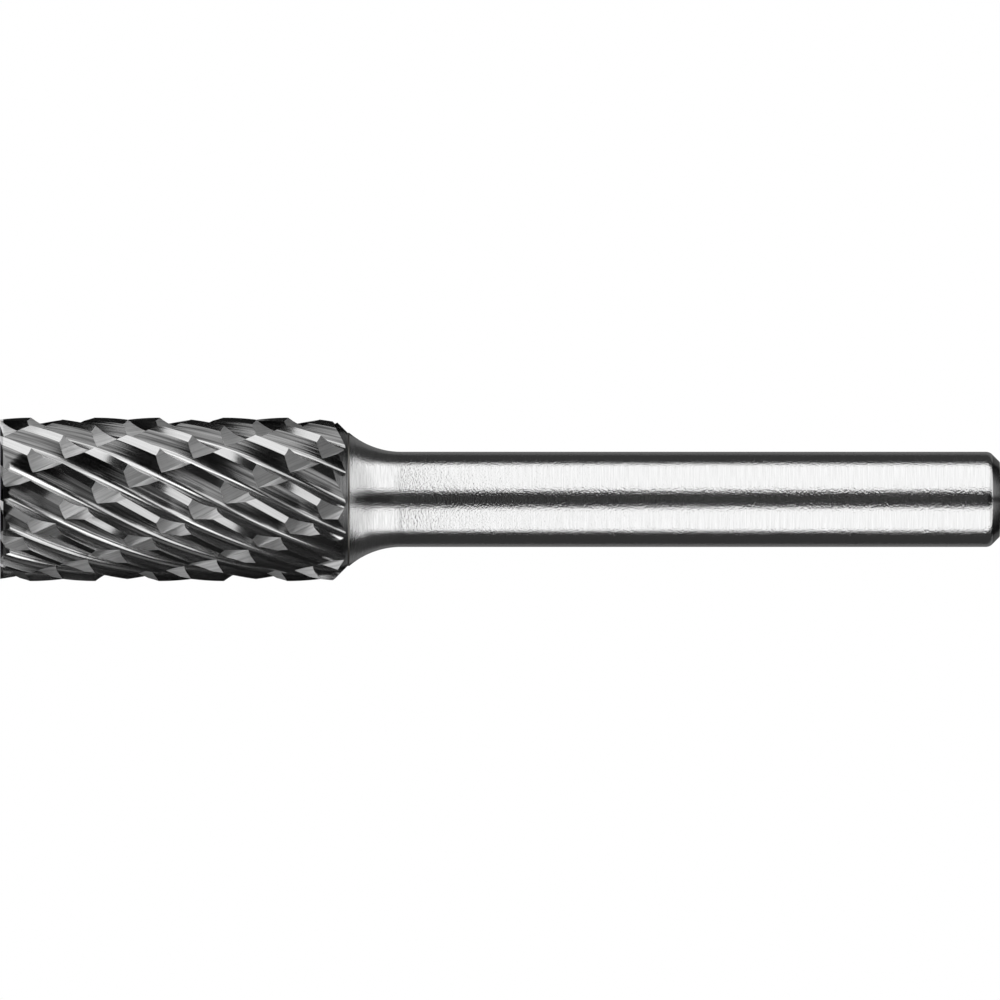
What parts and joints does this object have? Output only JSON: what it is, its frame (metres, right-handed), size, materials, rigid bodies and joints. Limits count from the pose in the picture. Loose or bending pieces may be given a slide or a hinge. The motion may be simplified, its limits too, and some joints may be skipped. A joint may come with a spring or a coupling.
{
  "type": "carbide burr",
  "caption": "Cylindrical double-cut carbide burr with end teeth, brazed to a plain round steel shank.",
  "frame": {"origin": "centre of the cutting end, in the plane of the end teeth", "axes": "+Z along the tool axis from the cutting end up the shank; +X lies 13.2 degrees clockwise of a cutting edge at the tip, seen from the shank"},
  "size_m": [0.0103, 0.0103, 0.063],
  "materials": {
    "ground_carbide": "ground cemented carbide, fine grinding lines along the flutes",
    "silver_braze": "silver braze, turned flush",
    "ground_steel": "centreless-ground bright steel, turned neck"
  },
  "bodies": {
    "root": {"carbide_head": "ground_carbide", "braze_joint": "silver_braze", "steel_shank": "ground_steel"}
  },
  "joints": []
}
